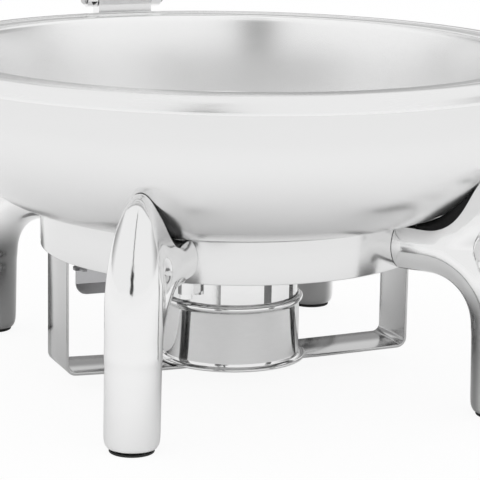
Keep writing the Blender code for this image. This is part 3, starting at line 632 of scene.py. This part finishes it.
def bracket_mesh():
    """The U strap with finer bends and softened edges."""
    half = [(118.5, 106.0), (118.5, 60.0), *arc((112.5, 16.8), 6.0, 0, -88.5, 10), (54.0, 9.3)]
    path = half + [(-x, z) for x, z in reversed(half)]
    bm = bmesh.new()
    sides = []
    for edge in (-20.0, 20.0):
        sides.append([bm.verts.new((x * MM, edge * MM, z * MM)) for x, z in path])
    for i in range(len(path) - 1):
        bm.faces.new((sides[0][i], sides[0][i + 1], sides[1][i + 1], sides[1][i]))
    mesh = bpy.data.meshes.new("bracket")
    bm.to_mesh(mesh)
    bm.free()
    obj = add_object("bracket_blank", mesh)
    sheet = obj.modifiers.new("sheet", "SOLIDIFY")
    sheet.thickness = 0.002
    sheet.offset = 0
    sheet.use_even_offset = True
    edges = obj.modifiers.new("edges", "BEVEL")
    edges.width = 0.0004
    edges.segments = 2
    edges.limit_method = "ANGLE"
    edges.angle_limit = math.radians(60)
    apply_modifiers(obj)
    mesh = obj.data
    bpy.data.objects.remove(obj, do_unlink=True)
    return mesh


stand_for("burner_bracket_fine", bracket_mesh(), "stand", STRAP, "polished_steel", "burner_bracket")


# ---------------------------------------------------------------- burner

CUP_BASE = 10.6


def cup_mesh():
    """The fuel cup: a floor, a straight wall with a rolled bead and a flared foot."""
    floor = CUP_BASE + 2
    inside = [(0, floor), (41.8, floor), *arc((41.8, CUP_BASE + 4), 2.0, -90, 0, 4)]
    inside += [(43.8, 52.2), (44.0, 53.0)]
    bead = arc((44.9, 50.9), 2.4, 100, -70, 12)
    outside = [(45.2, 47.9), (45.0, 47.2), (45.0, 15.0), (45.1, 14.0), (45.6, 13.1), (46.6, 12.7)]
    foot = [(48.6, 12.6), *arc((48.6, 11.6), 1.0, 90, -90, 6), (0, CUP_BASE)]
    return lathe([*inside, *bead, *outside, *foot], 160)


stand_for("burner_cup_fine", cup_mesh(), "stand", CUP, "polished_steel", "burner_cup")
dress(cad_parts["burner_collar"], CUP)
dress(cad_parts["burner_shutter"], SHUTTER)
dress(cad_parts["shutter_pivot"], POLISH)


# ---------------------------------------------------------------- cover

HINGE = Vector((0, 0.228, 0.222))
HINGE_TURN = Matrix.Rotation(math.radians(-90), 4, "X")
OPEN = Matrix.Translation(HINGE) @ HINGE_TURN @ Matrix.Translation(-HINGE)
# the shut dome in millimetres: the radius of its edge, its rise, its sheet and its rolled bead
COVER_REACH = 205.5
COVER_RISE = 130.0
COVER_SHEET = 1.2
COVER_BEAD = 2.4
COVER_SEAT = 214.2


def cover_mesh():
    radius = (COVER_REACH ** 2 + COVER_RISE ** 2) / (2 * COVER_RISE)
    height = COVER_SEAT + COVER_BEAD + COVER_RISE - radius
    edge = math.degrees(math.acos(COVER_REACH / radius))
    outside = arc((0, height), radius, 90, edge + 0.8, 48)
    bead = arc((205.1, COVER_SEAT + COVER_BEAD), COVER_BEAD, 50, -230, 16)
    inside = arc((0, height), radius - COVER_SHEET, edge + 0.8, 90, 48)
    outside[0] = (0, height + radius)
    inside[-1] = (0, height + radius - COVER_SHEET)
    return lathe([*outside, *bead, *inside], PAN_STEPS)


stand_for("cover_fine", cover_mesh(), "cover", COVER, "polished_steel", "cover", matrix=OPEN)
for name in ("cover_handle", "hinge_leaf", "hinge_bracket"):
    dress(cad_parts[name], POLISH)
for name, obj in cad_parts.items():
    if name.startswith(("leg_bolt_", "leg_washer_", "cup_rivet_", "handle_screw_", "leaf_screw_",
                        "bracket_rivet_", "hinge_pin")):
        dress(obj, FASTENER)


# ---------------------------------------------------------------- studio

# the floor's own light near the object and far from it, where it fades in, and as the camera sees it
FLOOR_GLOW = 0.15
FLOOR_FAR_GLOW = 0.9
FLOOR_NEAR = 0.25
FLOOR_FAR = 1.2
FLOOR_SEEN = 0.92
# the overhead soft box: width and height in metres, power in watts
BOX_WIDTH = 5.0
BOX_HEIGHT = 2.2
BOX_POWER = 20.0
# the backdrop as the camera sees it, and the light that the steel sees
SKY_SEEN = 1.02
SKY_LEVEL = 0.97
# the dark gap in front: its bearing in degrees, its half widths and top, and the thin slit above it
GAP_BEARING = 31.0
GAP_INNER = 0.06
GAP_OUTER = 0.15
GAP_LEVEL = 0.03
GAP_TOP = 0.16
SLIT_INNER = 0.012
SLIT_OUTER = 0.04
SLIT_TOP = 0.75
# the dim low rear
REAR_LEVEL = 0.42
REAR_TOP = 0.25
# the camera: its turn about the pans' axis, its place before that turn in metres, its angles and lens
CAMERA_TURN = -21.467
CAMERA_PLACE = (0, -1.4504, 0.4035)
CAMERA_PITCH = 12.308
CAMERA_YAW = 0.211
CAMERA_ROLL = 1.008
CAMERA_LENS = 169.98


def pale_floor():
    """A pale floor that takes soft light but shows the camera little of the shadow it carries."""
    material = bpy.data.materials.new("pale_floor")
    material.use_nodes = True
    tree = material.node_tree
    shader = tree.nodes["Principled BSDF"]
    shader.inputs["Roughness"].default_value = 0.9
    shader.inputs["Specular IOR Level"].default_value = 0.1
    place = node(tree, "ShaderNodeTexCoord", -700, 0)
    cloud = node(tree, "ShaderNodeTexNoise", -500, 0)
    cloud.inputs["Scale"].default_value = 0.8
    tree.links.new(place.outputs["Object"], cloud.inputs["Vector"])
    paint = node(tree, "ShaderNodeMix", -250, 0, data_type="RGBA")
    paint.inputs["A"].default_value = (0.93, 0.93, 0.93, 1)
    paint.inputs["B"].default_value = (0.96, 0.96, 0.96, 1)
    tree.links.new(cloud.outputs["Fac"], paint.inputs["Factor"])
    tree.links.new(paint.outputs["Result"], shader.inputs["Base Color"])
    glow = node(tree, "ShaderNodeEmission", 100, -200)
    glow.inputs["Strength"].default_value = 1.0
    seen = node(tree, "ShaderNodeLightPath", -100, 400)
    far = node(tree, "ShaderNodeVectorMath", -500, 300, operation="LENGTH")
    tree.links.new(place.outputs["Object"], far.inputs[0])
    spread = node(tree, "ShaderNodeMapRange", -300, 300, interpolation_type="SMOOTHSTEP")
    spread.inputs["From Min"].default_value = FLOOR_NEAR
    spread.inputs["From Max"].default_value = FLOOR_FAR
    spread.inputs["To Min"].default_value = FLOOR_GLOW
    spread.inputs["To Max"].default_value = FLOOR_FAR_GLOW
    tree.links.new(far.outputs["Value"], spread.inputs["Value"])
    share = node(tree, "ShaderNodeMix", 100, 300, data_type="FLOAT")
    share.inputs["B"].default_value = FLOOR_SEEN
    tree.links.new(spread.outputs["Result"], share.inputs["A"])
    tree.links.new(seen.outputs["Is Camera Ray"], share.inputs["Factor"])
    mix = node(tree, "ShaderNodeMixShader", 350, 0)
    tree.links.new(share.outputs["Result"], mix.inputs[0])
    tree.links.new(shader.outputs[0], mix.inputs[1])
    tree.links.new(glow.outputs[0], mix.inputs[2])
    tree.links.new(mix.outputs[0], tree.nodes["Material Output"].inputs["Surface"])
    bpy.ops.mesh.primitive_plane_add(size=12.0, location=(0, 0, -0.0002))
    floor = bpy.context.object
    floor.name = "studio_floor"
    floor.data.materials.append(material)


def along(tree, direction, bearing, x, y):
    """How far a direction points to a compass bearing, in degrees from -Y towards -X."""
    dot = node(tree, "ShaderNodeVectorMath", x, y, operation="DOT_PRODUCT")
    turn = math.radians(bearing)
    dot.inputs[1].default_value = (-math.sin(turn), -math.cos(turn), 0)
    tree.links.new(direction, dot.inputs[0])
    return dot.outputs["Value"]


def studio_world():
    """A white backdrop; the steel sees broad soft boxes, a dark gap in front and a dim low rear."""
    world = bpy.data.worlds.new("studio")
    bpy.context.scene.world = world
    world.use_nodes = True
    tree = world.node_tree
    background = tree.nodes["Background"]
    background.inputs["Color"].default_value = (1, 1, 1, 1)
    direction = node(tree, "ShaderNodeTexCoord", -1600, 0).outputs["Generated"]
    apart = node(tree, "ShaderNodeSeparateXYZ", -1400, -300)
    tree.links.new(direction, apart.inputs[0])
    height = apart.outputs["Z"]
    across = node(tree, "ShaderNodeMath", -1150, 300, operation="ABSOLUTE")
    tree.links.new(along(tree, direction, GAP_BEARING + 90, -1350, 300), across.inputs[0])
    facing = along(tree, direction, GAP_BEARING, -1350, 100)
    front = ramp(tree, facing, 0.3, 0.6, -950, 100)
    wide = ramp(tree, across.outputs[0], GAP_OUTER, GAP_INNER, -950, 300)
    low = multiply(tree, wide, ramp(tree, height, GAP_TOP + 0.12, GAP_TOP, -950, -100), -750, 200)
    thin = ramp(tree, across.outputs[0], SLIT_OUTER, SLIT_INNER, -950, 500)
    tall = multiply(tree, thin, ramp(tree, height, SLIT_TOP + 0.15, SLIT_TOP, -950, -300), -750, 500)
    either = node(tree, "ShaderNodeMath", -650, 350, operation="MAXIMUM")
    tree.links.new(low, either.inputs[0])
    tree.links.new(tall, either.inputs[1])
    gap = multiply(tree, either.outputs[0], front, -550, 100)
    behind = ramp(tree, facing, 0.15, -0.55, -950, -500)
    shallow = ramp(tree, height, REAR_TOP + 0.15, REAR_TOP, -950, -700)
    rear = multiply(tree, behind, shallow, -750, -600)
    beside_gap = darken(tree, gap, GAP_LEVEL, -350, 100)
    beside_rear = darken(tree, rear, REAR_LEVEL, -550, -500)
    sky = multiply(tree, beside_gap, beside_rear, -150, -100)
    seen = node(tree, "ShaderNodeLightPath", -150, 400)
    pick = node(tree, "ShaderNodeMix", 50, 200, data_type="FLOAT")
    pick.inputs["B"].default_value = SKY_SEEN
    tree.links.new(seen.outputs["Is Camera Ray"], pick.inputs["Factor"])
    scaled = node(tree, "ShaderNodeMath", -50, -100, operation="MULTIPLY")
    scaled.inputs[1].default_value = SKY_LEVEL
    tree.links.new(sky, scaled.inputs[0])
    tree.links.new(scaled.outputs[0], pick.inputs["A"])
    tree.links.new(pick.outputs["Result"], background.inputs["Strength"])


def overhead_light():
    """A round soft box straight above, which lights the floor but isn't mirrored in the steel."""
    light = bpy.data.lights.new("overhead", "AREA")
    light.shape = "DISK"
    light.size = BOX_WIDTH
    light.energy = BOX_POWER
    box = add_object("overhead", light)
    box.location = (0, 0, BOX_HEIGHT)
    box.visible_glossy = False


def add_camera():
    """The camera 1.45 m from the pans' axis and 0.40 m up, looking 12.3 degrees down."""
    pitch = math.radians(CAMERA_PITCH)
    yaw = math.radians(CAMERA_YAW)
    roll = math.radians(CAMERA_ROLL)
    rotate = Matrix.Rotation(math.radians(CAMERA_TURN), 3, "Z")
    place = rotate @ Vector(CAMERA_PLACE)
    level = math.cos(pitch)
    ahead = rotate @ Vector((math.sin(yaw) * level, math.cos(yaw) * level, -math.sin(pitch)))
    right = ahead.cross(Vector((0, 0, 1))).normalized()
    up = right.cross(ahead)
    side = right * math.cos(roll) + up * math.sin(roll)
    top = up * math.cos(roll) - right * math.sin(roll)
    camera = bpy.data.cameras.new("camera")
    camera.sensor_width = 36.0
    camera.lens = CAMERA_LENS
    camera.clip_start = 0.05
    camera.clip_end = 30.0
    obj = add_object("camera", camera)
    obj.matrix_world = Matrix((
        (side.x, top.x, -ahead.x, place.x),
        (side.y, top.y, -ahead.y, place.y),
        (side.z, top.z, -ahead.z, place.z),
        (0, 0, 0, 1)))
    bpy.context.scene.camera = obj


pale_floor()
studio_world()
overhead_light()
add_camera()
bpy.context.scene.view_settings.view_transform = "Standard"
